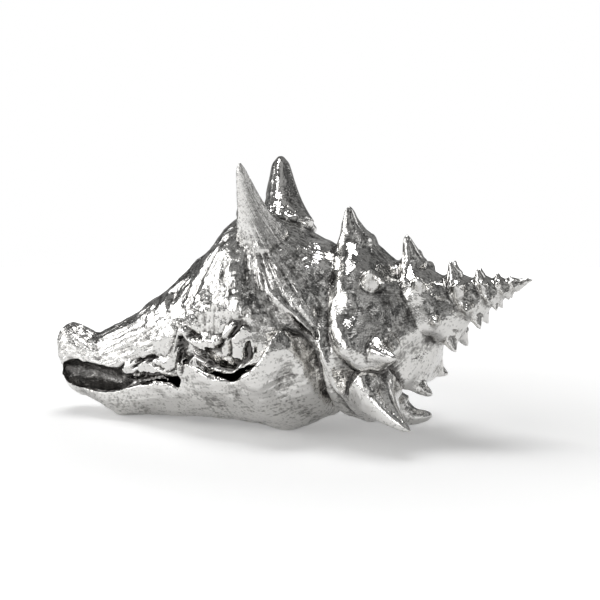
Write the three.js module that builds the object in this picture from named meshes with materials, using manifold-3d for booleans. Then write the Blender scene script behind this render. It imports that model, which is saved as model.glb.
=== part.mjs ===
// A polished metal casting of a large spiny conch: a dextral (right-handed) spiral
// shell lying on its side, with its mouth turned to the front.
//
// Row frame: millimetres, +Z up. The pointed tip (apex) is at +X, the open
// siphonal canal at -X, and the mouth faces -Y. The shell rests on Z = 0.

import * as THREE from 'three';
import { mergeVertices } from 'three/addons/utils/BufferGeometryUtils.js';
import Module from 'manifold-3d';

const wasm = await Module();
wasm.setup();

// ---------------------------------------------------------------- dimensions

// Length of the coiling axis, from the apex to the end of the canal, and the
// breadth across the shoulder of the last turn, without its spines.
const AXIS_LENGTH = 213;
const SHOULDER_BREADTH = 89;

// The proportions below are in small units: 475 along the axis, and 212 across
// the shoulder.
const AXIS_UNITS = 475;
const ALONG = AXIS_LENGTH / AXIS_UNITS;
const UNIT = SHOULDER_BREADTH / 212;

// How the resting shell lies: the canal end dips, and the shell is rolled a little.
const REST_PITCH = THREE.MathUtils.degToRad(18.1);
const REST_ROLL = THREE.MathUtils.degToRad(4);

// Spiral growth: every full turn is this many times larger than the last.
const GROWTH = 1.46;
// Distance from the apex of the seam (suture) above the last turn, at its start.
const SUTURE_START = 157.2;
// Where the shoulder, which carries the spines, lies between two seams.
const SHOULDER = 0.64;
// Whole turns modelled in the spire above the last turn.
const SPIRE_TURNS = 5;

// Facets: steps round one turn, and rows from one seam to the next.
const STEPS_ROUND = 44;
const ROWS_ACROSS = 7;

// Thickness of the outer lip, and the gap between it and the wall behind it.
const LIP_WALL = 5.5;
const LIP_GAP = 12;

// Depth shaved off where the shell touches the table, in millimetres.
const FOOT_DEPTH = 0.8;

// ------------------------------------------------------------ small functions

const TAU = 2 * Math.PI;

function smooth(x) {
  const t = Math.min(1, Math.max(0, x));
  return t * t * (3 - 2 * t);
}

function bell(x, centre, width) {
  return Math.exp(-(((x - centre) / width) ** 2));
}

function wrapAngle(angle) {
  return angle - TAU * Math.round(angle / TAU);
}

// Straight-line steps through [position, value] pairs.
function along(pairs, x) {
  if (x <= pairs[0][0]) return pairs[0][1];
  for (let i = 1; i < pairs.length; i++) {
    if (x <= pairs[i][0]) {
      const [x0, y0] = pairs[i - 1];
      const [x1, y1] = pairs[i];
      return y0 + ((y1 - y0) * (x - x0)) / (x1 - x0);
    }
  }
  return pairs[pairs.length - 1][1];
}

// ------------------------------------------------------------- shell surface

// Radius of the last turn against distance from the apex: a sloping shoulder,
// a long taper, and a blunt canal end.
const BODY_PROFILE = [
  [150, 76], [170, 79], [190, 81], [215, 94], [240, 105], [262, 104], [288, 91],
  [316, 79], [348, 66], [388, 53], [420, 45], [445, 40], [460, 31], [469, 19], [475, 0],
];

// The spire is a cone that flares towards the last turn.
function spireRadius(a, across) {
  const cone = 0.35 + 0.14 * smooth((a - 85) / 45);
  const bulge = 0.85 + 0.27 * Math.sin(Math.PI * across ** 1.35) ** 1.3;
  return a * cone * bulge;
}

// The last turn and the canal bend away from the straight axis.
function axisRise(a) {
  const body = 25 * smooth((a - 150) / 90) - 2.5 * smooth((a - 300) / 60);
  return body + 25 * smooth((a - 424) / 34);
}

// The canal is flatter from front to back than the body.
function frontDepth(a) {
  return 0.96 - 0.22 * smooth((a - 320) / 110);
}

// Angle of the outer lip's edge round the axis: it undulates along its length.
function lipAngle(whorl) {
  const a = SUTURE_START * GROWTH ** (whorl - 0.06);
  let degrees = -21;
  degrees -= 24 * bell(a, 192, 16);
  degrees += 18 * bell(a, 232, 15);
  degrees -= 6 * bell(a, 280, 16);
  degrees += 12 * bell(a, 318, 13);
  degrees -= 9 * bell(a, 344, 12);
  return THREE.MathUtils.degToRad(degrees);
}

// The seam swings round the big nodules at the front, and climbs at the lip.
function seamShift(a, angle) {
  const w = THREE.MathUtils.radToDeg(wrapAngle(angle));
  const nodules = 20 * bell(a, 157, 30) * bell(w, -5, 42);
  const climb = 28 * bell(a, 226, 30) * (w < -12 ? bell(w, -12, 48) : bell(w, -12, 24));
  return nodules - climb;
}

// A place on the shell. whorl 0 is the last turn; across runs from its seam
// (0) to the next seam (1) and on to the canal; sweep runs once round the turn.
function skin(whorl, across, sweep) {
  const angle = lipAngle(whorl + across + sweep) + TAU * sweep;
  const raw = SUTURE_START * GROWTH ** (whorl + across + angle / TAU);
  const a = Math.min(AXIS_UNITS, raw + seamShift(raw, angle));
  let radius = spireRadius(a, Math.min(1, across));
  if (whorl === 0) {
    const full = along(BODY_PROFILE, a);
    const front = 17 * Math.min(1, full / 70) * (1 - smooth(sweep / 0.26));
    const seamGroove = 1 - 0.06 * bell(across, 0, 0.07);
    const share = across >= 1 ? 1 : smooth(sweep / 0.12);
    radius += ((full - front) * seamGroove - radius) * share;
  }
  return { a, angle, radius };
}

// From axis distance, angle round the axis and radius to the row frame.
const toCanal = new THREE.Vector3(-Math.cos(REST_PITCH), 0, -Math.sin(REST_PITCH));
const level = new THREE.Vector3(0, -1, 0);
const above = new THREE.Vector3(-Math.sin(REST_PITCH), 0, Math.cos(REST_PITCH));
const toFront = level.clone().multiplyScalar(Math.cos(REST_ROLL))
  .addScaledVector(above, Math.sin(REST_ROLL));
const toTop = above.clone().multiplyScalar(Math.cos(REST_ROLL))
  .addScaledVector(level, -Math.sin(REST_ROLL));

function placeFlat(a, front, top) {
  return new THREE.Vector3()
    .addScaledVector(toCanal, a * ALONG)
    .addScaledVector(toFront, front * UNIT)
    .addScaledVector(toTop, top * UNIT);
}

function place(a, angle, radius) {
  return placeFlat(
    a,
    radius * Math.cos(angle) * frontDepth(a),
    radius * Math.sin(angle) + axisRise(a),
  );
}

// --------------------------------------------------------------- solid helpers

// A closed solid from points and triangles, welded and without slivers.
function solidFrom(points, triangles) {
  const geometry = new THREE.BufferGeometry();
  const flat = points.flatMap((p) => [p.x, p.y, p.z]);
  geometry.setAttribute('position', new THREE.Float32BufferAttribute(flat, 3));
  geometry.setIndex(triangles.flat());
  const welded = mergeVertices(geometry, 1e-4);
  const index = welded.index.array;
  const kept = [];
  for (let i = 0; i < index.length; i += 3) {
    const [p, q, r] = [index[i], index[i + 1], index[i + 2]];
    if (p !== q && q !== r && r !== p) kept.push(p, q, r);
  }
  const solidOf = (corners) => new wasm.Manifold(new wasm.Mesh({
    numProp: 3,
    vertProperties: Float32Array.from(welded.attributes.position.array),
    triVerts: Uint32Array.from(corners),
  }));
  const solid = solidOf(kept);
  return solid.volume() > 0 ? solid : solidOf(kept.reverse());
}

// A solid skinned over a row of rings, closed by a point at each end.
function ringSolid(rings, startPoint, endPoint) {
  const points = [startPoint, ...rings.flat(), endPoint];
  const n = rings[0].length;
  const last = points.length - 1;
  const triangles = [];
  for (let j = 0; j < n; j++) {
    const k = (j + 1) % n;
    triangles.push([0, 1 + k, 1 + j]);
    for (let i = 0; i + 1 < rings.length; i++) {
      const low = 1 + i * n;
      const high = low + n;
      triangles.push([low + j, low + k, high + k], [low + j, high + k, high + j]);
    }
    const end = 1 + (rings.length - 1) * n;
    triangles.push([end + j, end + k, last]);
  }
  return solidFrom(points, triangles);
}

// ------------------------------------------------------------ the coiled body

function coiledBody() {
  const points = [];
  const triangles = [];
  const put = (p) => points.push(p) - 1;
  const rows = [];
  const total = (SPIRE_TURNS + 3) * ROWS_ACROSS;
  for (let row = 0; row <= total; row++) {
    const whorl = Math.min(0, Math.floor(row / ROWS_ACROSS) - SPIRE_TURNS);
    const across = row / ROWS_ACROSS - SPIRE_TURNS - whorl;
    const line = [];
    for (let step = 0; step <= STEPS_ROUND; step++) {
      const s = skin(whorl, across, step / STEPS_ROUND);
      line.push(put(place(s.a, s.angle, s.radius)));
    }
    rows.push(line);
  }
  // Each turn's end lies on the next turn's start, up to the seam of the lip.
  for (let row = 0; row <= total - ROWS_ACROSS; row++) {
    const start = rows[row + ROWS_ACROSS][0];
    if (row <= SPIRE_TURNS * ROWS_ACROSS) points[rows[row][STEPS_ROUND]] = points[start];
  }
  for (let row = 0; row < total; row++) {
    for (let step = 0; step < STEPS_ROUND; step++) {
      const [p, q] = [rows[row][step], rows[row][step + 1]];
      const [r, s] = [rows[row + 1][step], rows[row + 1][step + 1]];
      triangles.push([p, r, q], [q, r, s]);
    }
  }
  // The step from the lip's edge down to the wall behind it.
  const firstLip = SPIRE_TURNS * ROWS_ACROSS;
  for (let row = firstLip; row < total; row++) {
    const low = Math.min(total, row + ROWS_ACROSS);
    const lower = Math.min(total, row + 1 + ROWS_ACROSS);
    const [p, q] = [rows[row][STEPS_ROUND], rows[row + 1][STEPS_ROUND]];
    const [r, s] = [rows[low][0], rows[lower][0]];
    triangles.push([p, q, s], [p, s, r]);
  }
  // The apex closes the first turn.
  const tip = put(place(0, 0, 0));
  for (let step = 0; step < STEPS_ROUND; step++) {
    triangles.push([tip, rows[0][step], rows[0][step + 1]]);
  }
  for (let row = 0; row < ROWS_ACROSS; row++) {
    triangles.push([tip, rows[row][0], rows[row + 1][0]].reverse());
  }
  return solidFrom(points, triangles);
}

// ------------------------------------------------------------------- spines

// The large spines: turn, rise above the shoulder, lean towards the canal,
// stoutness, and shift of the foot towards the canal. Turn 0 is at the front; a
// quarter turn later is the top.
const GREAT_SPINES = [
  [0.172, 99, -15, 1.5, 12], [0.305, 77, -7, 1.5, 2], [0.44, 60, -4, 1.3, 0],
  [0.573, 32, 0, 1.3, 0], [-0.14, 38, -64, 2.1, -4], [-0.29, 3, -44, 2.0, 0],
  [-0.4, 22, -24, 1.4, 0], [-0.53, 26, -10, 1.3, 0], [-0.655, 21, -3, 1.3, 0],
  [-0.778, 39, -10, 1.5, 2], [-0.92, 10, -14, 1.7, 0], [-1.07, 19, -20, 1.9, 6],
  [-1.2, 15, -12, 1.6, 0], [-1.33, 14, -10, 1.4, 0], [-1.46, 18, -6, 1.4, 0],
  [-1.6, 20, -4, 1.3, 0], [-1.7, 14, -4, 1.3, 0], [-1.785, 32, -8, 1.4, 2],
  [-1.917, 19, -6, 1.4, 0], [-2.05, 12, -6, 1.4, 0], [-2.18, 18, -4, 1.4, 0],
];
// Above them the spines shrink turn by turn: eight to a turn.
const SMALL_SPINE_STEP = 0.125;
const SMALL_SPINES_FROM = -2.31;
const SMALL_SPINES_TO = -4.9;

function spine(turn, rise, lean, stout, shift, sides, levels) {
  const angle = TAU * turn;
  const a = SUTURE_START * GROWTH ** (turn + SHOULDER) + shift;
  const whorlRadius = turn > -0.1
    ? along(BODY_PROFILE, a)
    : spireRadius(a, SHOULDER);
  const foot = place(a - 0.1 * lean, angle, whorlRadius * 0.7);
  const base = place(a, angle, whorlRadius);
  const tip = place(a + lean, angle, whorlRadius + rise);
  const curve = new THREE.CatmullRomCurve3([foot, base, tip]);
  const length = foot.distanceTo(base) + base.distanceTo(tip);
  const thick = (8 + 0.17 * rise) * stout * UNIT;
  const rings = [];
  const side = new THREE.Vector3();
  const over = new THREE.Vector3();
  for (let i = 0; i < levels; i++) {
    const t = (i / (levels - 1)) * 0.95;
    const centre = curve.getPoint(t);
    const heading = curve.getTangent(t);
    side.crossVectors(toCanal, heading).normalize();
    over.crossVectors(heading, side).normalize();
    const taper = 1 - t;
    const radius = thick * (0.13 + 0.5 * taper + 0.95 * taper ** 4);
    const ring = [];
    for (let k = 0; k < sides; k++) {
      const turnRound = (k / sides) * TAU;
      ring.push(centre.clone()
        .addScaledVector(side, radius * Math.cos(turnRound))
        .addScaledVector(over, radius * Math.sin(turnRound)));
    }
    rings.push(ring);
  }
  const root = foot.clone().addScaledVector(curve.getTangent(0), -0.05 * length);
  return ringSolid(rings, root, tip);
}

function allSpines() {
  const solids = GREAT_SPINES.map(([turn, rise, lean, stout, shift]) =>
    spine(turn, rise, lean, stout, shift, rise > 50 ? 10 : 8, rise > 50 ? 7 : 4));
  for (let turn = SMALL_SPINES_FROM; turn > SMALL_SPINES_TO; turn -= SMALL_SPINE_STEP) {
    const a = SUTURE_START * GROWTH ** (turn + SHOULDER);
    const rise = 40 * (a / 150) ** 1.4;
    solids.push(spine(turn, rise, -0.1 * rise, a / 62, 0, 6, 3));
  }
  return solids;
}

// ----------------------------------------------------------------- openings

// The mouth: a narrow curved room that runs back from the lip under the last turn.
function mouthRoom() {
  const reach = 0.4;
  const across = [0.22, 1.86];
  const rows = 16;
  const steps = 12;
  const inner = [];
  const outer = [];
  for (let i = 0; i <= rows; i++) {
    for (let j = 0; j <= steps; j++) {
      const t = across[0] + ((across[1] - across[0]) * i) / rows;
      const sweep = 1 + 0.03 - (reach * j) / steps;
      const s = skin(0, t, Math.min(1, sweep));
      const extra = Math.max(0, sweep - 1) * TAU;
      const pinch = Math.sqrt(Math.sin((Math.PI * i) / rows) * (1 - j / steps));
      const middle = s.radius - LIP_WALL - 0.5 * LIP_GAP * Math.min(1, s.radius / 70);
      const half = 0.5 * LIP_GAP * Math.min(1, s.radius / 70) * Math.min(1, 1.3 * pinch);
      inner.push(place(s.a, s.angle + extra, middle - half));
      outer.push(place(s.a, s.angle + extra, middle + half));
    }
  }
  const points = [...inner, ...outer];
  const shift = inner.length;
  const triangles = [];
  const at = (i, j) => i * (steps + 1) + j;
  for (let i = 0; i < rows; i++) {
    for (let j = 0; j < steps; j++) {
      const [p, q, r, s] = [at(i, j), at(i, j + 1), at(i + 1, j), at(i + 1, j + 1)];
      triangles.push([p, q, r], [q, s, r]);
      triangles.push([p + shift, r + shift, q + shift], [q + shift, r + shift, s + shift]);
    }
    for (const j of [0, steps]) {
      const [p, r] = [at(i, j), at(i + 1, j)];
      const wall = [[p, r, r + shift], [p, r + shift, p + shift]];
      triangles.push(...(j === 0 ? wall : wall.map((t) => t.slice().reverse())));
    }
  }
  for (let j = 0; j < steps; j++) {
    for (const i of [0, rows]) {
      const [p, q] = [at(i, j), at(i, j + 1)];
      const wall = [[p, q + shift, q], [p, p + shift, q + shift]];
      triangles.push(...(i === 0 ? wall : wall.map((t) => t.slice().reverse())));
    }
  }
  return solidFrom(points, triangles);
}

// The siphonal canal: a scooped gutter, open to the front. Each station is
// distance from the apex, forward, up, depth and height of the scoop.
const CANAL_STATIONS = [
  [384, 40, 20, 6, 6], [396, 36, 20, 13, 11], [412, 30, 23, 19, 15], [428, 26, 30, 21, 19],
  [442, 23, 40, 20, 22], [454, 21, 46, 16, 21], [463, 19, 47, 10, 14],
];

function canalScoop() {
  const sides = 16;
  const rings = CANAL_STATIONS.map(([a, front, top, deep, high]) => {
    const ring = [];
    for (let k = 0; k < sides; k++) {
      const angle = (k / sides) * TAU;
      ring.push(placeFlat(a, front + deep * Math.cos(angle), top + high * Math.sin(angle)));
    }
    return ring;
  });
  const first = CANAL_STATIONS[0];
  const end = CANAL_STATIONS[CANAL_STATIONS.length - 1];
  return ringSolid(
    rings,
    placeFlat(first[0] - 4, first[1], first[2]),
    placeFlat(end[0] + 4, end[1], end[2]),
  );
}

// ------------------------------------------------------------------ assembly

let shell = coiledBody();
for (const s of allSpines()) shell = shell.add(s);
shell = shell.subtract(mouthRoom()).subtract(canalScoop());

// Set the shell down on Z = 0 with its footprint centred, and flatten the feet.
const box = shell.boundingBox();
shell = shell.translate([
  -(box.min[0] + box.max[0]) / 2,
  -(box.min[1] + box.max[1]) / 2,
  -box.min[2] - FOOT_DEPTH,
]);
shell = shell.trimByPlane([0, 0, 1], 0);

const result = shell.getMesh();
const geometry = new THREE.BufferGeometry();
geometry.setAttribute('position', new THREE.BufferAttribute(result.vertProperties, 3));
geometry.setIndex(new THREE.BufferAttribute(result.triVerts, 1));
geometry.computeVertexNormals();

const silver = new THREE.MeshStandardMaterial({
  color: 0xe4e3df,
  roughness: 0.14,
  metalness: 1,
});

const shellMesh = new THREE.Mesh(geometry, silver);
shellMesh.name = 'shell';

const part = new THREE.Group();
part.name = 'spiny_conch_shell';
part.add(shellMesh);

export default part;
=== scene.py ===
"""A polished silver casting of a large spiny conch, lying on its side."""
import bpy
import math
import numpy as np
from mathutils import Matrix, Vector


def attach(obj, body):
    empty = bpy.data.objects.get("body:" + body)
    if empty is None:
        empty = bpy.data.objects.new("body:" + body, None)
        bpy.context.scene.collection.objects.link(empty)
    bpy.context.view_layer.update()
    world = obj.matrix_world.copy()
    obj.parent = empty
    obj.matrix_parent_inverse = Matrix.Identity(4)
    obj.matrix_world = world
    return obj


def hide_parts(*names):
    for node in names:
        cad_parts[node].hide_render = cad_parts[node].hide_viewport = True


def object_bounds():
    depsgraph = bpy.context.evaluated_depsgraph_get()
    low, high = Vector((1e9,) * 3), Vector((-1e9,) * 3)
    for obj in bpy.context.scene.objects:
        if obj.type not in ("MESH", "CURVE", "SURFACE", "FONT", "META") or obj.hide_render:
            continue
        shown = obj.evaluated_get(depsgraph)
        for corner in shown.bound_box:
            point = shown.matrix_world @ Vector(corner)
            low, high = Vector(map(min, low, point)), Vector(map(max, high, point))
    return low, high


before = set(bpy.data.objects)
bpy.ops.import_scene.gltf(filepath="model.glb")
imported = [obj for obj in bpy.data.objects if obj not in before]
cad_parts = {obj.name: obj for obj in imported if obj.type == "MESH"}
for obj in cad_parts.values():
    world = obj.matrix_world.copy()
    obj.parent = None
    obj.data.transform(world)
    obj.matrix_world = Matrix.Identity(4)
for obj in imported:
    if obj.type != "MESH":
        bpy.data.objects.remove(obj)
cad_low, cad_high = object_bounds()

# ------------------------------------------------------------- dimensions
# Metres. The proportions are in small units: 475 along the coiling axis and
# 212 across the shoulder of the last turn. Turn 0 is at the front, and a quarter
# turn later is the top.
TAU = 2 * math.pi
AXIS_UNITS = 475.0
SHOULDER_UNITS = 212
ALONG = 0.213 / AXIS_UNITS
UNIT = 0.089 / SHOULDER_UNITS
REST_PITCH = math.radians(18.1)
REST_ROLL = math.radians(4.0)
# The feet are worn flat by this much where they touch the table.
FOOT_WEAR = 0.0008

# Spiral: growth in a turn, the seam's distance from the apex where the last turn
# starts, and where the shoulder lies between two seams.
GROWTH = 1.46
SUTURE_START = 157.2
SHOULDER = 0.64
SPIRE_TURNS = 8
BODY_TURNS = 3
STEPS_ROUND = 230
ROWS_ACROSS = 30

# The last turn: distance from the apex and radius.
BODY_PROFILE = [
    (150, 76), (170, 79), (190, 81), (215, 94), (240, 105), (262, 104), (288, 91),
    (316, 79), (348, 66), (388, 53), (420, 46), (445, 42), (462, 38), (472, 28), (475, 0),
]
FRONT_FLATNESS = 17
SEAM_GROOVE = 0.035

# The lip: its place in degrees below the front, and the waves in its edge, each with
# height in degrees, distance from the apex and width. Its outward flare is in units.
LIP_DEGREES = -21
LIP_WAVES = [(-24, 192, 16), (18, 232, 15), (-6, 280, 16), (12, 318, 13), (-9, 344, 12)]
LIP_FLARES = [(7, 228, 24), (3, 300, 18), (3, 362, 20)]
LIP_WALL = 5.5
LIP_WALL_SHARE = 0.38
MOUTH_REACH = 0.38
RIM_STEPS = 6
MOUTH_STEPS = 19

# The large spines: turn, rise above the shoulder, lean towards the canal, stoutness,
# tip radius, and shift of the foot towards the canal.
GREAT_SPINES = [
    (0.172, 88, -14, 0.95, 3, 12), (0.305, 80, -7, 1.1, 7, 2), (0.44, 60, -4, 1.1, 3, 0),
    (0.573, 32, 0, 1.1, 3, 0), (-0.13, 58, -34, 1.1, 2.5, -34), (-0.27, 14, -30, 0.8, 5, -20),
    (-0.4, 22, -24, 1.1, 3, 0), (-0.53, 26, -10, 1.1, 3, 0), (-0.655, 21, -3, 1.1, 3, 0),
    (-0.778, 36, -8, 1.15, 3, 2), (-0.91, 20, -9, 0.8, 2.2, -9),
    (-1.05, 38, -27, 1.1, 2.2, 6), (-1.2, 15, -12, 1.2, 2.5, 0), (-1.33, 14, -10, 1.1, 2.5, 0),
    (-1.46, 18, -6, 1.1, 2.5, 0), (-1.6, 20, -4, 1.1, 2.5, 0), (-1.7, 14, -4, 1.1, 2.5, 0),
    (-1.785, 30, -4, 1.1, 2.4, 2), (-1.917, 19, -6, 1.1, 2.2, 0), (-2.05, 12, -6, 1.1, 2, 0),
    (-2.18, 18, -4, 1.1, 2, 0),
]
# Above them the spines shrink turn by turn, eight to a turn.
SMALL_SPINES_FROM = -2.31
SMALL_SPINES_TO = -6.4
SMALL_SPINE_STEP = 0.125
# Spines that lie on the underside between these turns have no knob below them.
NO_KNOB = (-0.45, -0.1)
# Smooth knobs between the spines: turn, distance from the apex, reach and height.
KNOBS = [
    (-0.02, 153, 21, 11), (0.02, 118, 12, 6), (-0.06, 108, 10, 5), (0.09, 140, 12, -5),
    (-0.1, 128, 14, -5), (0.07, 94, 8, 5), (-0.04, 170, 17, 12),
]

# The scoop that opens the canal: distance from the apex, then the centre's place to
# the front and to the top, and the half breadth each way.
CANAL_STATIONS = [
    (360, 46, 12, 0, 0), (366, 46, 12, 5, 5), (380, 43, 13, 9, 8), (396, 37, 15, 14, 10),
    (412, 31, 17, 19, 12), (428, 27, 22, 21, 14), (442, 25, 29, 20, 15), (454, 23, 34, 17, 15),
    (465, 21, 37, 12, 12), (472, 19, 38, 0, 0),
]
CANAL_STEPS = 60

WELD = 2e-6
VOXEL = 0.00062
MOST_TRIANGLES = 190000

# Relief: lump size in metres, height in units and seed of the uneven casting.
COARSE_CASTING = [(0.0115, 1.8, 11), (0.0062, 1.1, 13)]
FINE_CASTING = [(0.0033, 0.5, 15), (0.0019, 0.3, 19)]
TONGUE_HEIGHT = 8.5
TONGUE_FLOOR = 3.8
RELIEF_LEFT_ON_SPINES = 0.15
# Hollows, darkened in the colour as tarnish and painted shade: rounds of smoothing, and the
# depth that counts as a full hollow.
HOLLOW_ROUNDS = 9
HOLLOW_DEPTH = 0.0006
# Darkness painted inside the canal: painted shade, as a share of a full hollow.
CANAL_PAINTED_SHADE = 0.55

SILVER = (0.86, 0.85, 0.83, 1)
DULL_SILVER = (0.62, 0.61, 0.59, 1)
# The darkest colour: oxide, and painted shade in the hollows.
OXIDE_AND_SHADE = (0.14, 0.135, 0.13, 1)
WHITE = (1, 1, 1, 1)
PAPER = (0.88, 0.88, 0.88, 1)
DARK_WALL = (0.045, 0.045, 0.045, 1)
GREY_WALL = (0.4, 0.4, 0.395, 1)

TABLE_RADIUS = 0.5
LIGHT_TARGET = (0, 0, 0.05)
# Soft lights: name, place, breadth and height, and watts.
SOFTBOXES = [
    ("overhead", (-0.15, 0.1, 0.95), (0.5, 0.35), 4.6),
    ("left", (-0.9, -0.12, 0.36), (0.55, 0.5), 2.6),
    ("right_card", (0.75, 0.6, 0.45), (0.4, 0.5), 0.6),
    ("front_low", (-0.15, -0.95, 0.12), (0.8, 0.16), 0.3),
    ("front_left", (-0.6, -0.75, 0.3), (0.6, 0.5), 1.5),
    ("front_right_card", (0.75, -0.65, 0.4), (0.16, 0.4), 0.08),
    ("front_high", (0.25, -0.55, 0.95), (0.5, 0.07), 0.1),
]
CAMERA_YAW = math.radians(18.4)
CAMERA_LIFT = math.radians(9.0)
CAMERA_AIM = (0.0026, 0.0009, 0.0522)
CAMERA_DISTANCE = 0.842
CAMERA_LENS = 120


# ---------------------------------------------------------- small functions
def smooth(x):
    t = np.clip(x, 0, 1)
    return t * t * (3 - 2 * t)


def bell(x, centre, width):
    return np.exp(-(((x - centre) / width) ** 2))


def waves(x, table, base=0):
    """The base with a row of bells added: height, centre and width of each."""
    total = base
    for height, centre, width in table:
        total = total + height * bell(x, centre, width)
    return total


def mound(along, round_way, reach):
    return np.exp(-(along / reach) ** 2 - (round_way / reach) ** 2)


def wrap(angle):
    return angle - TAU * np.round(angle / TAU)


def rounded_profile(a):
    """The last turn's radius, with its corners eased."""
    xs = [p[0] for p in BODY_PROFILE]
    ys = [p[1] for p in BODY_PROFILE]
    spread = np.clip((AXIS_UNITS - a) * 0.3, 0.0, 9.0)
    total = 0
    for k, share in ((-1, 0.25), (0, 0.5), (1, 0.25)):
        total = total + share * np.interp(a + k * spread, xs, ys)
    return total


def spire_radius(a, across):
    cone = 0.35 + 0.14 * smooth((a - 85) / 45)
    wave = np.sin(math.pi * np.clip(across, 0, 1) ** 1.35)
    return a * cone * (0.85 + 0.27 * np.clip(wave, 0, 1) ** 1.1)


def axis_rise(a):
    """How far the middle of a section lies above the coiling axis."""
    body = 25 * smooth((a - 150) / 90) - 2.5 * smooth((a - 300) / 60)
    return body + 25 * smooth((a - 424) / 34)


def front_depth(a):
    """Sections are a little flat from front to back, more so towards the canal."""
    return 0.96 - 0.22 * smooth((a - 320) / 110)


def lip_angle(whorl):
    a = SUTURE_START * GROWTH ** (whorl - 0.06)
    return np.radians(waves(a, LIP_WAVES, LIP_DEGREES))


def seam_shift(a, angle):
    """The seam wanders: along below the nodules, and up where it nears the lip."""
    w = np.degrees(wrap(angle))
    nodules = 20 * bell(a, 157, 30) * bell(w, -5, 42)
    climb = np.where(w < -12, bell(w, -12, 48), bell(w, -12, 24))
    return nodules - 28 * bell(a, 226, 30) * climb


def skin(whorl, across, sweep):
    """Axis distance, angle and radius of places on the shell.

    whorl counts turns, with 0 the last; across runs from 0 at one seam to 1 at the
    next; sweep runs from 0 to 1 round the turn.
    """
    angle = lip_angle(whorl + across + sweep) + TAU * sweep
    q = whorl + across + angle / TAU
    start = SUTURE_START * GROWTH ** (-SPIRE_TURNS + 1.0)
    raw = SUTURE_START * GROWTH ** q
    raw = raw - start * np.clip(1 - (q + SPIRE_TURNS - 1) / 2, 0, 9)
    raw = np.clip(raw, 0, None)
    a = np.clip(raw + seam_shift(raw, angle) * (raw > 60), 0, AXIS_UNITS)
    radius = spire_radius(a, across)
    # The last turn follows its own profile, flattened in front where it starts.
    full = rounded_profile(a)
    lifted = 1 - (1 - smooth(across / 0.14)) * smooth((sweep - 0.7) / 0.3)
    front = FRONT_FLATNESS * np.minimum(1, full / 70) * (1 - smooth(sweep / 0.26) * lifted)
    front = np.where(whorl == 0, front, FRONT_FLATNESS)
    groove = 1 - SEAM_GROOVE * bell(across, 0, 0.04)
    # The turn before it eases into that profile, so that the skin is unbroken.
    late = smooth((across - 0.45) / 0.5)
    share = np.maximum(smooth(sweep / 0.12), late)
    before = np.where(whorl == -1, late * smooth((sweep - 0.86) / 0.14), 0)
    share = np.where(whorl == 0, share, before)
    radius = radius + ((full - front) * groove - radius) * share
    flare = smooth((sweep - 0.93) / 0.07) * smooth(across / 0.2) * (whorl == 0)
    radius = radius + flare * waves(a, LIP_FLARES)
    return a, angle, radius + spine_swelling(a, angle, radius)


def spine_place(turn, shift=0.0):
    """Axis distance and radius of the shoulder under a spine."""
    a = SUTURE_START * GROWTH ** (turn + SHOULDER) + shift
    here = rounded_profile(np.array(a)) if turn > -0.1 else spire_radius(a, SHOULDER)
    return a, float(here)


def spine_swelling(a, angle, radius):
    """The shell swells into a knob below the large spines, and at the knobs."""
    total = 0
    for turn, rise, _, _, _, shift in GREAT_SPINES:
        if NO_KNOB[0] < turn < NO_KNOB[1]:
            continue
        foot, here = spine_place(turn, shift)
        reach = 9 + 0.2 * here + 0.14 * max(0, rise - 10)
        height = min(0.16 * rise + 0.05 * here, 17)
        total = total + height * mound(a - foot, here * wrap(angle - TAU * turn), reach)
    for turn, centre, reach, height in KNOBS:
        total = total + height * mound(a - centre, radius * wrap(angle - TAU * turn), reach)
    return total


# The shell's own directions in the frame, as it lies: along the axis to the canal,
# to the front, and to the top.
to_canal = np.array([-math.cos(REST_PITCH), 0, -math.sin(REST_PITCH)])
level = np.array([0.0, -1.0, 0.0])
above = np.array([-math.sin(REST_PITCH), 0, math.cos(REST_PITCH)])
to_front = level * math.cos(REST_ROLL) + above * math.sin(REST_ROLL)
to_top = above * math.cos(REST_ROLL) - level * math.sin(REST_ROLL)


def place_flat(a, front, top):
    a, front, top = np.broadcast_arrays(a, front, top)
    return (a[..., None] * ALONG * to_canal + front[..., None] * UNIT * to_front
            + top[..., None] * UNIT * to_top)


def place(a, angle, radius):
    return place_flat(a, radius * np.cos(angle) * front_depth(a),
                      radius * np.sin(angle) + axis_rise(a))


# -------------------------------------------------------------- mesh helpers
def deselect():
    if bpy.context.mode != "OBJECT":
        bpy.ops.object.mode_set(mode="OBJECT")
    bpy.ops.object.select_all(action="DESELECT")


def make_active(obj):
    deselect()
    obj.select_set(True)
    bpy.context.view_layer.objects.active = obj


def shaped_grid(name, points):
    """A grid primitive laid over a table of points, welded where they meet."""
    deselect()
    rows, cols = points.shape[:2]
    bpy.ops.mesh.primitive_grid_add(x_subdivisions=cols - 1, y_subdivisions=rows - 1, size=1)
    obj = bpy.context.object
    obj.name = name
    set_coords(obj, points)
    bpy.ops.object.mode_set(mode="EDIT")
    bpy.ops.mesh.select_all(action="SELECT")
    bpy.ops.mesh.remove_doubles(threshold=WELD)
    bpy.ops.mesh.normals_make_consistent(inside=False)
    bpy.ops.object.mode_set(mode="OBJECT")
    return obj


def apply_modifier(obj, kind, **settings):
    make_active(obj)
    mod = obj.modifiers.new(kind.lower(), kind)
    for key, value in settings.items():
        setattr(mod, key, value)
    bpy.ops.object.modifier_apply(modifier=mod.name)


def read_vectors(obj, key):
    flat = np.empty(len(obj.data.vertices) * 3, dtype=np.float32)
    obj.data.vertices.foreach_get(key, flat)
    return flat.reshape(-1, 3).astype(float)


def coords(obj):
    return read_vectors(obj, "co")


def normals(obj):
    return read_vectors(obj, "normal")


def set_coords(obj, points):
    obj.data.vertices.foreach_set("co", np.ascontiguousarray(points, dtype=np.float32).ravel())
    obj.data.update()


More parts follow.
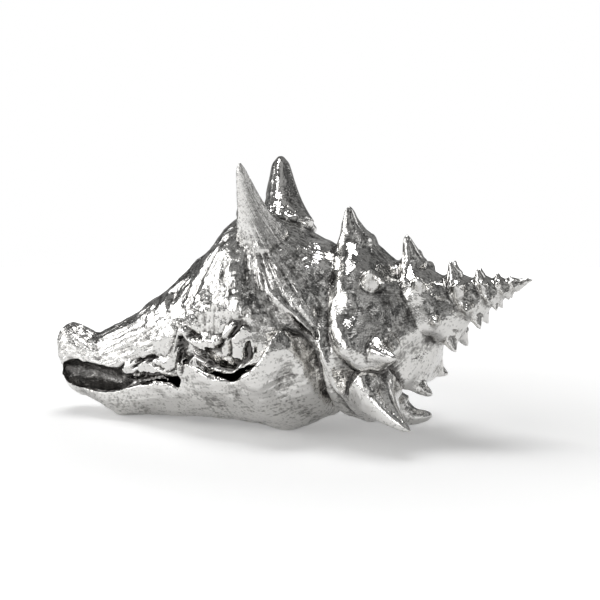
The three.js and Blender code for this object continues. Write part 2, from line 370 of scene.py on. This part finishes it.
# ------------------------------------------------------------ the coiled body
def mouth_folds(w, t):
    """The lip's rounded rim, the inside of the last turn, and the wall facing it."""
    a1, g1, r1 = skin(w, t, np.ones((1, 1)))
    inner = skin(0 * w, t + 1, np.zeros((1, 1)))[2]
    step = np.where(w == 0, np.clip(r1 - inner, 0, None), 0.0)
    wall = np.minimum(LIP_WALL, LIP_WALL_SHARE * step)
    gap = step - wall
    open_here = smooth((t - 0.14) / 0.2) * smooth((AXIS_UNITS - 22 - a1) / 40)
    folds = []
    for k in np.linspace(0, 1, RIM_STEPS + 1)[1:]:
        out = wall * 0.5 * math.sin(math.pi * k)
        fold_angle = g1 + out / np.maximum(r1, 1)
        folds.append(place(a1, fold_angle, r1 - wall * (0.5 - 0.5 * math.cos(math.pi * k))))
    deep = np.linspace(0, 1, MOUTH_STEPS + 1)[1:] ** 1.5
    for k in deep:
        a2, g2, r2 = skin(w, t, 1 - MOUTH_REACH * k * open_here)
        folds.append(place(a2, g2, r2 - wall))
    for k in deep[::-1][1:]:
        a2, g2, r2 = skin(w, t, 1 - MOUTH_REACH * k * open_here)
        folds.append(place(a2, g2, r2 - wall - gap * np.sqrt(np.clip(1 - k * k, 0, 1))))
    folds.append(place(a1, g1, r1 - step))
    return np.stack([f[:, 0, :] for f in folds], axis=1)


def coiled_body():
    """One long ribbon wound round the axis; at the lip it folds in to form the mouth."""
    row = np.arange((SPIRE_TURNS + BODY_TURNS) * ROWS_ACROSS + 1)
    whorl = np.minimum(0, row // ROWS_ACROSS - SPIRE_TURNS)
    across = row / ROWS_ACROSS - SPIRE_TURNS - whorl
    w, t = whorl[:, None], across[:, None]
    sweep = np.linspace(0, 1, STEPS_ROUND + 1)[None, :]
    outer = place(*skin(w, t, sweep))
    folds = mouth_folds(w, t)
    spire_rows = row < SPIRE_TURNS * ROWS_ACROSS + 1
    folds[spire_rows] = outer[spire_rows, -1:, :]
    points = np.concatenate([outer, folds], axis=1)
    # Each turn's last column lies on the next turn's first one.
    first = points[ROWS_ACROSS:, 0, :]
    points[:-ROWS_ACROSS, -1, :] = first
    rows = spire_rows[:-ROWS_ACROSS]
    points[:-ROWS_ACROSS][rows, STEPS_ROUND:, :] = first[rows][:, None, :]
    points[-ROWS_ACROSS:, STEPS_ROUND:, :] = points[-1:, -1:, :]
    return shaped_grid("shell_body", points)


# ------------------------------------------------------------------- spines
def spine(turn, rise, lean, stout, tip_radius, shift, sides, levels):
    """A bent horn that widens evenly from its tip and flares into the shoulder."""
    angle = TAU * turn
    a, here = spine_place(turn, shift)
    base = place(a, angle, here)
    tip = place(a + lean, angle, here + rise)
    # A spine that leans a lot starts in line with itself, and not from the axis.
    flat = min(0.6, 0.4 * abs(lean) / rise) if rise > 25 else 0.0
    rooted = place(a - 0.1 * lean, angle, here * 0.7)
    foot = rooted * (1 - flat) + flat * (base - 0.3 * (tip - base))
    below = np.linalg.norm(base - foot)
    height = np.linalg.norm(tip - base)
    reach = below / (below + height)
    slope = (0.22 + 0.14 * math.exp(-(rise / 60) ** 2)) * stout
    bend = (base - foot * (1 - reach) ** 2 - tip * reach ** 2) / (2 * reach * (1 - reach))
    turns = np.linspace(0, TAU, sides + 1)
    rings = []
    for t in np.concatenate([[0.0], np.linspace(0.06, 0.985, levels)]):
        centre = foot * (1 - t) ** 2 + 2 * bend * t * (1 - t) + tip * t ** 2
        heading = 2 * (bend - foot) * (1 - t) + 2 * (tip - bend) * t
        heading = heading / np.linalg.norm(heading)
        side = np.cross(to_canal, heading)
        side = side / np.linalg.norm(side)
        over = np.cross(heading, side)
        # Thickness, then a blunt tip, then a narrower root inside the shell.
        taper = 1 - np.clip((t - reach) / (1 - reach), 0, 1)
        radius = tip_radius * UNIT + slope * height * (taper + 0.3 * taper ** 5)
        radius *= math.sqrt(1 - smooth((t - 0.9) / 0.1) * 0.8)
        radius *= 1 - 0.45 * max(0.0, 1 - t / reach)
        # Ribs round it, and a groove down its front.
        ridge = 1 + 0.05 * np.cos(2 * turns) + 0.04 * np.cos(5 * turns + turn * 9)
        ridge = ridge - 0.13 * bell(wrap(turns - 1.9), 0, 0.3) * smooth(taper * 3)
        ring = (centre[None, :] + radius * ridge[:, None] * (
            side[None, :] * np.cos(turns)[:, None] + over[None, :] * np.sin(turns)[:, None]))
        rings.append(ring)
    start = np.repeat((foot - 0.02 * (tip - foot))[None, :], sides + 1, axis=0)
    end = np.repeat(tip[None, :], sides + 1, axis=0)
    points = np.stack([start] + rings + [end])
    points[:, -1] = points[:, 0]
    return shaped_grid("spine", points)


def all_spines():
    made = []
    for turn, rise, lean, stout, tip_radius, shift in GREAT_SPINES:
        sides, levels = (36, 36) if rise > 30 else (26, 20)
        made.append(spine(turn, rise, lean, stout, tip_radius, shift, sides, levels))
    turn = SMALL_SPINES_FROM
    while turn > SMALL_SPINES_TO:
        a = SUTURE_START * GROWTH ** (turn + SHOULDER)
        rise = 40 * (a / 150) ** 1.4
        made.append(spine(turn, rise, -0.1 * rise, 1.1, 0.02 * a, 0, 14, 10))
        turn -= SMALL_SPINE_STEP
    return made


# --------------------------------------------------------------- canal scoop
def canal_scoop():
    table = np.array(CANAL_STATIONS, dtype=float)
    steps = np.linspace(0, len(table) - 1, CANAL_STEPS)
    cols = [np.interp(steps, np.arange(len(table)), table[:, k]) for k in range(5)]
    for k in range(1, 5):
        eased = cols[k].copy()
        for _ in range(4):
            eased[1:-1] = (eased[:-2] + eased[1:-1] + eased[2:]) / 3
        cols[k] = eased
    cols[3][[0, -1]] = 0
    cols[4][[0, -1]] = 0
    turns = np.linspace(0, TAU, 49)[None, :]
    a, front, top, deep, high = [c[:, None] for c in cols]
    points = place_flat(a + 0 * turns, front + deep * np.cos(turns), top + high * np.sin(turns))
    points[:, -1] = points[:, 0]
    return shaped_grid("canal_scoop", points)


# ------------------------------------------------------------------ one skin
def one_skin():
    """Body, canal and spines remeshed into one skin, and the body's lowest place."""
    body = coiled_body()
    lowest = coords(body)[:, 2].min()
    scoop = canal_scoop()
    apply_modifier(body, "BOOLEAN", operation="DIFFERENCE", object=scoop, solver="EXACT")
    bpy.data.objects.remove(scoop)
    spines = all_spines()
    make_active(body)
    for obj in spines:
        obj.select_set(True)
    bpy.ops.object.join()
    body.name = "silver_conch"
    apply_modifier(body, "REMESH", mode="VOXEL", voxel_size=VOXEL, adaptivity=0.0)
    apply_modifier(body, "SMOOTH", factor=0.5, iterations=3)
    return body, lowest


def set_down(obj, lowest):
    """Centre the footprint in the frame, with the feet on the table."""
    points = coords(obj)
    low, high = points.min(0), points.max(0)
    centre = (np.array(cad_low) + np.array(cad_high)) / 2
    move = centre - (low + high) / 2
    move[2] = cad_low[2] - lowest - FOOT_WEAR
    points += move
    points[:, 2] = np.maximum(points[:, 2], 0.0)
    set_coords(obj, points)
    return move


# --------------------------------------------------------------- fine relief
def hash_unit(ix, iy, iz, seed):
    """A repeatable number from 0 to 1 for every corner of a lattice."""
    h = (ix * 374761393 + iy * 668265263 + iz * 2147483647 + seed * 974634777) & 0xFFFFFFFF
    h = ((h ^ (h >> 13)) * 1274126177) & 0xFFFFFFFF
    h = ((h ^ (h >> 16)) * 2246822519) & 0xFFFFFFFF
    return ((h ^ (h >> 13)) & 0xFFFFFF) / float(0xFFFFFF)


def lumps(p, seed):
    """Smooth lumpy noise from -1 to 1."""
    base = np.floor(p).astype(np.int64)
    f = p - base
    f = f * f * f * (f * (f * 6 - 15) + 10)
    total = 0
    for dx in (0, 1):
        for dy in (0, 1):
            for dz in (0, 1):
                w = (np.abs(1 - dx - f[:, 0]) * np.abs(1 - dy - f[:, 1])
                     * np.abs(1 - dz - f[:, 2]))
                total = total + w * hash_unit(base[:, 0] + dx, base[:, 1] + dy,
                                              base[:, 2] + dz, seed)
    return 2 * total - 1


def coil_coords(points):
    """Axis distance, angle and radius of points of the finished shell."""
    p = points - offset
    a = p @ to_canal / ALONG
    front = p @ to_front / UNIT / front_depth(a)
    top = p @ to_top / UNIT - axis_rise(a)
    return a, np.arctan2(top, front), np.hypot(top, front)


def degrees_from_lip(a, angle):
    """Degrees round the axis from the edge of the lip: more is higher on the front."""
    lip = lip_angle(np.log(np.clip(a, 5, 475) / SUTURE_START) / math.log(GROWTH) + 0.06)
    return (np.degrees(angle - lip) + 180) % 360 - 180


def fan_coords(a, angle, radius):
    """Direction and distance from the foot of the tallest spine, and how near it is."""
    turn, _, _, _, _, shift = GREAT_SPINES[0]
    foot, _ = spine_place(turn, shift)
    along, round_way = a - foot, radius * wrap(angle - TAU * turn)
    distance = np.hypot(along, round_way)
    safe = np.maximum(distance, 1)
    fan = np.column_stack([along / safe, round_way / safe, distance / 40])
    return fan, smooth((150 - distance) / 60) * smooth((a - 165) / 25)


def growth_lines(points, a, ring, from_lip, fan, fan_share):
    """Lines from the shoulder down to the canal, and a fan below the tallest spine."""
    drift = 0.35 * lumps(points / 0.02, 21)[:, None]
    upper = smooth((from_lip - 20) / 30) * smooth((a - 170) / 60)
    axial = 0.9 * lumps(np.column_stack([(ring + drift) * 8, a / 40]), 3)
    axial += 0.55 * lumps(np.column_stack([(ring + drift) * 22, a / 26]), 5)
    rays = 0.9 * lumps(fan * (9, 9, 1.6), 23) + 0.6 * lumps(fan * (24, 24, 2.4), 25)
    lines = upper * (1 - fan_share) * axial + smooth((from_lip - 14) / 20) * fan_share * rays
    lines += smooth((a - 150) / 60) * 0.3 * lumps(np.column_stack([ring * 55, a / 18]), 7)
    return lines


def ragged_tongues(points, a, from_lip):
    """Torn tongues of metal above the mouth."""
    drift = 0.35 * lumps(points / 0.02, 21)[:, None]
    tongue = lumps(np.column_stack([a / 17, from_lip / 7, 0 * a]) + 0.5 * drift, 31)
    tongue += 0.6 * lumps(np.column_stack([a / 7, from_lip / 4, 0 * a]), 33)
    beside = smooth((from_lip - 1) / 3) * smooth((33 - from_lip) / 6)
    beside *= smooth((a - 240) / 15) * smooth((412 - a) / 15)
    return beside * (TONGUE_HEIGHT * smooth((tongue + 0.06) / 0.12) - TONGUE_FLOOR)


def casting_lumps(points, table):
    return sum(height * lumps(points / size, seed) for size, height, seed in table)


def carve_relief(obj):
    points = coords(obj)
    out = normals(obj)
    a, angle, radius = coil_coords(points)
    ring = np.stack([np.cos(angle), np.sin(angle)], 1)
    from_lip = degrees_from_lip(a, angle)
    fan, fan_share = fan_coords(a, angle, radius)
    relief = growth_lines(points, a, ring, from_lip, fan, fan_share)
    relief += ragged_tongues(points, a, from_lip)
    # Uneven casting, strongest on the spire.
    size_here = np.clip(a / 200, 0.05, 1.0)
    knobbly = size_here * (1 + 0.9 * smooth((185 - a) / 40))
    relief += knobbly * casting_lumps(points, COARSE_CASTING)
    relief += size_here * casting_lumps(points, FINE_CASTING)
    # The spines are polished smoother.
    whole = np.where(a > 150, rounded_profile(a), a * 0.5)
    on_spine = smooth((radius - whole - 22) / 14)
    relief *= 1 - (1 - RELIEF_LEFT_ON_SPINES) * on_spine
    points += out * (relief * UNIT)[:, None]
    points[:, 2] = np.maximum(points[:, 2], 0.0)
    set_coords(obj, points)


def thin_out(obj):
    triangles = sum(len(face.vertices) - 2 for face in obj.data.polygons)
    apply_modifier(obj, "DECIMATE", ratio=min(1.0, MOST_TRIANGLES / triangles))


# ------------------------------------------------- attributes for the material
def hollows(obj, points):
    """How far each place lies below its smoothed surroundings, from 0 to 1."""
    edges = np.empty(len(obj.data.edges) * 2, dtype=np.int32)
    obj.data.edges.foreach_get("vertices", edges)
    edges = edges.reshape(-1, 2)
    count = np.bincount(edges.ravel(), minlength=len(points))[:, None]
    soft = points.copy()
    for _ in range(HOLLOW_ROUNDS):
        total = np.zeros_like(soft)
        for axis in range(3):
            total[:, axis] = np.bincount(edges[:, 0], soft[edges[:, 1], axis], len(points))
            total[:, axis] += np.bincount(edges[:, 1], soft[edges[:, 0], axis], len(points))
        soft = total / np.maximum(count, 1)
    depth = ((soft - points) * normals(obj)).sum(1) / HOLLOW_DEPTH
    return smooth(depth * 0.55 + 0.16)


def store(obj, name, kind, values):
    layer = obj.data.attributes.new(name, kind, "POINT")
    key = "vector" if kind == "FLOAT_VECTOR" else "value"
    layer.data.foreach_set(key, np.ascontiguousarray(values, dtype=np.float32).ravel())


def store_attributes(obj):
    points = coords(obj)
    a, angle, radius = coil_coords(points)
    ring = np.stack([np.cos(angle), np.sin(angle)], 1)
    from_lip = degrees_from_lip(a, angle)
    fan, fan_share = fan_coords(a, angle, radius)
    growth = smooth((from_lip - 14) / 20) * smooth((a - 170) / 40)
    growth = 0.2 * smooth((a - 60) / 60) + 0.8 * growth
    # The inside of the canal lies well below the last turn's outer surface.
    whole = np.where(a > 150, rounded_profile(a), 0)
    sunk = smooth((whole - radius - 7) / 7) * smooth((a - 320) / 30)
    # Painted shade: the inside of the canal is darkened in the colour, as a deep recess in
    # shade would be.
    hollow = np.maximum(hollows(obj, points), CANAL_PAINTED_SHADE * sunk)
    store(obj, "coil", "FLOAT_VECTOR", np.column_stack([ring, a / 100]))
    store(obj, "hollow", "FLOAT", hollow)
    store(obj, "growth", "FLOAT", growth)
    store(obj, "fan", "FLOAT_VECTOR", fan)
    store(obj, "fan_share", "FLOAT", fan_share)


# ------------------------------------------------------------------ materials
class Nodes:
    """Short ways to add and link the nodes of one node tree."""

    def __init__(self, tree):
        self.nodes = tree.nodes
        self.link = tree.links.new

    def add(self, kind, **settings):
        made = self.nodes.new(kind)
        for key, value in settings.items():
            if key in made.inputs:
                made.inputs[key].default_value = value
            else:
                setattr(made, key, value)
        return made

    def attribute(self, name, output="Fac"):
        return self.add("ShaderNodeAttribute", attribute_name=name).outputs[output]

    def noise(self, vector, scale, detail, roughness=0.5):
        made = self.add("ShaderNodeTexNoise", Scale=scale, Detail=detail, Roughness=roughness)
        self.link(vector, made.inputs["Vector"])
        return made.outputs["Fac"]

    def drawn_noise(self, vector, stretch):
        """Noise drawn out into lines, by a scale of its own along each axis."""
        drawn = self.add("ShaderNodeVectorMath", operation="MULTIPLY")
        drawn.inputs[1].default_value = stretch
        self.link(vector, drawn.inputs[0])
        return self.noise(drawn.outputs[0], 1.0, 2.0)

    def bump(self, height, strength, distance, normal=None):
        made = self.add("ShaderNodeBump", Strength=strength, Distance=distance)
        self.link(height, made.inputs["Height"])
        if normal:
            self.link(normal, made.inputs["Normal"])
        return made.outputs["Normal"]

    def plus_share(self, value, share, rest):
        made = self.add("ShaderNodeMath", operation="MULTIPLY_ADD")
        made.inputs[1].default_value = share
        self.link(value, made.inputs[0])
        self.link(rest, made.inputs[2])
        return made.outputs[0]

    def spread_over(self, value, low, high, to_low=0.0, to_high=1.0):
        made = self.add("ShaderNodeMapRange")
        made.inputs["From Min"].default_value = low
        made.inputs["From Max"].default_value = high
        made.inputs["To Min"].default_value = to_low
        made.inputs["To Max"].default_value = to_high
        self.link(value, made.inputs["Value"])
        return made.outputs["Result"]

    def product(self, one, other):
        made = self.add("ShaderNodeMath", operation="MULTIPLY")
        self.link(one, made.inputs[0])
        self.link(other, made.inputs[1])
        return made.outputs[0]


def silver_surface(n, lines, where):
    """Bumps from the coarsest to the finest: growth lines, grain, speckle and pits."""
    faded = n.product(lines, n.attribute("growth"))
    surface = n.bump(faded, 0.4, 0.0005)
    surface = n.bump(n.noise(where, 360.0, 2.5, 0.55), 0.5, 0.0005, surface)
    surface = n.bump(n.noise(where, 1500.0, 1.0), 0.4, 0.00014, surface)
    pits = n.add("ShaderNodeTexVoronoi", Scale=520.0)
    n.link(where, pits.inputs["Vector"])
    depth = n.spread_over(pits.outputs["Distance"], 0.0, 0.22)
    return n.bump(depth, 0.25, 0.0003, surface)


def patina_and_painted_shade(n, lines, where):
    """How dull the metal is: more in the hollows, as tarnish and painted shade, with fine
    specks and streaks.
    """
    specks = n.noise(where, 800.0, 2.0, 0.6)
    streaked = n.plus_share(lines, 0.6, specks)
    uneven = n.plus_share(n.noise(where, 60.0, 2.0), 0.35, streaked)
    # The hollows darken the colour: partly tarnish, partly painted shade.
    return n.plus_share(n.attribute("hollow"), 0.9, uneven)


def silver_material():
    """Polished silver: fine growth lines, small pits, and tarnish with painted shade in the
    hollows.
    """
    mat = bpy.data.materials.new("polished_silver")
    mat.use_nodes = True
    n = Nodes(mat.node_tree)
    bsdf = n.nodes["Principled BSDF"]
    bsdf.inputs["Metallic"].default_value = 1.0
    where = n.add("ShaderNodeTexCoord").outputs["Object"]

    # Growth lines drawn out along the shell, and rays below the tallest spine.
    lines = n.add("ShaderNodeMix", data_type="FLOAT")
    n.link(n.attribute("fan_share"), lines.inputs["Factor"])
    n.link(n.drawn_noise(n.attribute("coil", "Vector"), (46, 46, 5)), lines.inputs["A"])
    n.link(n.drawn_noise(n.attribute("fan", "Vector"), (26, 26, 2)), lines.inputs["B"])
    lines = lines.outputs["Result"]
    n.link(silver_surface(n, lines, where), bsdf.inputs["Normal"])

    tarnish_and_shade = patina_and_painted_shade(n, lines, where)
    shifted = n.add("ShaderNodeMath", operation="SUBTRACT")
    shifted.inputs[1].default_value = 0.55
    n.link(tarnish_and_shade, shifted.inputs[0])
    colour = n.add("ShaderNodeValToRGB")
    ramp = colour.color_ramp.elements
    ramp[0].position = 0.5
    ramp[0].color = SILVER
    # The dark end of the ramp stands for oxide and for painted shade in the hollows.
    ramp[1].position = 0.9
    ramp[1].color = OXIDE_AND_SHADE
    ramp.new(0.56).color = DULL_SILVER
    n.link(shifted.outputs[0], colour.inputs["Fac"])
    n.link(colour.outputs["Color"], bsdf.inputs["Base Color"])
    n.link(n.spread_over(tarnish_and_shade, 0.5, 1.3, 0.03, 0.12), bsdf.inputs["Roughness"])
    return mat


def table_material():
    """White paper that glows a little more towards its edge, like a light table."""
    mat = bpy.data.materials.new("white_table")
    mat.use_nodes = True
    n = Nodes(mat.node_tree)
    bsdf = n.nodes["Principled BSDF"]
    bsdf.inputs["Base Color"].default_value = PAPER
    bsdf.inputs["Roughness"].default_value = 0.8
    bsdf.inputs["Specular IOR Level"].default_value = 0.2
    bsdf.inputs["Emission Color"].default_value = WHITE
    far = n.add("ShaderNodeVectorMath", operation="LENGTH")
    n.link(n.add("ShaderNodeTexCoord").outputs["Object"], far.inputs[0])
    glow = n.spread_over(far.outputs["Value"], 0.1, 0.4, 0.25, 0.75)
    # What the metal reflects of it glows less than what is seen directly.
    seen = n.add("ShaderNodeLightPath").outputs["Is Camera Ray"]
    shown = n.product(n.spread_over(seen, 0.0, 1.0, 0.35, 1.0), glow)
    n.link(shown, bsdf.inputs["Emission Strength"])
    return mat


# ------------------------------------------------------------ floor and light
def lay_table():
    deselect()
    bpy.ops.mesh.primitive_circle_add(vertices=96, radius=TABLE_RADIUS, fill_type="NGON")
    floor = bpy.context.object
    floor.name = "table"
    floor.data.materials.append(table_material())
    return floor


def softbox(name, place_at, size, power):
    data = bpy.data.lights.new(name, "AREA")
    data.shape = "RECTANGLE"
    data.size, data.size_y = size
    data.energy = power
    lamp = bpy.data.objects.new(name, data)
    bpy.context.scene.collection.objects.link(lamp)
    lamp.location = place_at
    facing = Vector(LIGHT_TARGET) - Vector(place_at)
    lamp.rotation_euler = facing.to_track_quat("-Z", "Y").to_euler()


def studio_world():
    """A white backdrop to look at, and soft dark greys for the metal to mirror."""
    world = bpy.data.worlds.new("studio")
    bpy.context.scene.world = world
    world.use_nodes = True
    n = Nodes(world.node_tree)
    direction = n.add("ShaderNodeTexCoord").outputs["Generated"]
    greys = n.add("ShaderNodeValToRGB")
    ramp = greys.color_ramp.elements
    ramp[0].position = 0.4
    ramp[0].color = DARK_WALL
    ramp[1].position = 0.64
    ramp[1].color = GREY_WALL
    n.link(n.noise(direction, 2.6, 3.0), greys.inputs["Fac"])
    room = n.nodes["Background"]
    n.link(greys.outputs["Color"], room.inputs["Color"])
    backdrop = n.add("ShaderNodeBackground", Color=WHITE)
    choose = n.add("ShaderNodeMixShader")
    n.link(n.add("ShaderNodeLightPath").outputs["Is Camera Ray"], choose.inputs[0])
    n.link(room.outputs[0], choose.inputs[1])
    n.link(backdrop.outputs[0], choose.inputs[2])
    n.link(choose.outputs[0], n.nodes["World Output"].inputs["Surface"])


def place_camera():
    data = bpy.data.cameras.new("camera")
    data.sensor_width = 36
    data.lens = CAMERA_LENS
    data.clip_end = 20
    camera = bpy.data.objects.new("camera", data)
    bpy.context.scene.collection.objects.link(camera)
    bpy.context.scene.camera = camera
    back = Vector((math.sin(CAMERA_YAW) * math.cos(CAMERA_LIFT),
                   -math.cos(CAMERA_YAW) * math.cos(CAMERA_LIFT),
                   math.sin(CAMERA_LIFT)))
    camera.location = Vector(CAMERA_AIM) + back * CAMERA_DISTANCE
    camera.rotation_euler = (-back).to_track_quat("-Z", "Y").to_euler()


# ------------------------------------------------------------------ build it
shell, lowest = one_skin()
offset = set_down(shell, lowest)
carve_relief(shell)
thin_out(shell)
store_attributes(shell)
make_active(shell)
bpy.ops.object.shade_smooth()
shell.data.materials.clear()
shell.data.materials.append(silver_material())
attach(shell, "root")
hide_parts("shell")

floor = lay_table()
for name, place_at, size, power in SOFTBOXES:
    softbox(name, place_at, size, power)
studio_world()
place_camera()
bpy.context.scene.view_settings.view_transform = "Standard"
